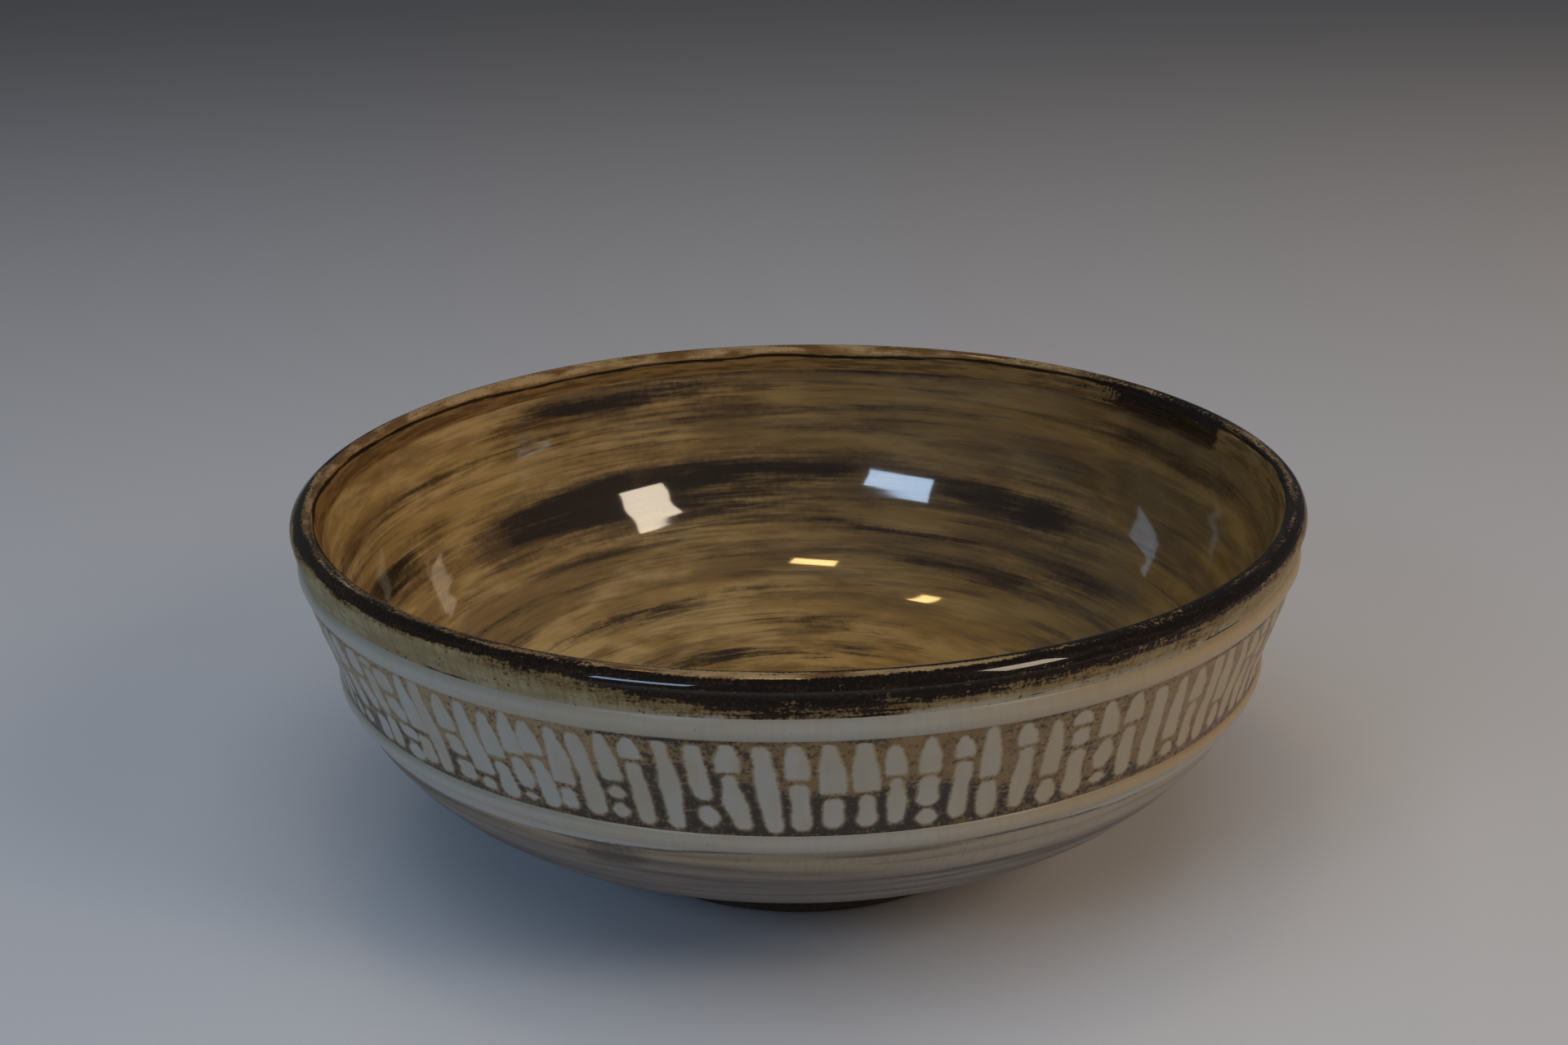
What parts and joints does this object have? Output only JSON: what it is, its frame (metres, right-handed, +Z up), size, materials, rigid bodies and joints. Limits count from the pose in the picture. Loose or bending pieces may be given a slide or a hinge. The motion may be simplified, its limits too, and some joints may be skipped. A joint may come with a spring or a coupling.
{
  "type": "punch bowl",
  "caption": "Wide stoneware serving bowl with rolled dark rim, raised cordons, a brushed slip band with upright resist dabs and a low foot ring.",
  "frame": {"origin": "middle of the foot ring's resting face, on the bowl's axis", "axes": "+Z up along the axis of revolution; X and Y level and interchangeable"},
  "size_m": [0.32, 0.32, 0.121],
  "materials": {
    "stoneware_clay": "satin grey-brown, brushed in level streaks",
    "bare_foot_clay": "unglazed, matte",
    "iron_slip_rim": "glossy black-brown iron slip, worn to tan on the top edge",
    "upper_cordon_slip": "satin cream",
    "lower_cordon_slip": "satin cream",
    "band_slip": "satin speckled brown slip with upright cream-grey resist dabs",
    "inner_glaze": "glossy warm ochre over brushed darker streaks"
  },
  "bodies": {
    "root": {"bowl_body": "stoneware_clay", "foot_ring": "bare_foot_clay", "rim_lip": "iron_slip_rim", "upper_cordon": "upper_cordon_slip", "lower_cordon": "lower_cordon_slip", "band_slip": "band_slip", "inner_glaze": "inner_glaze"}
  },
  "joints": []
}
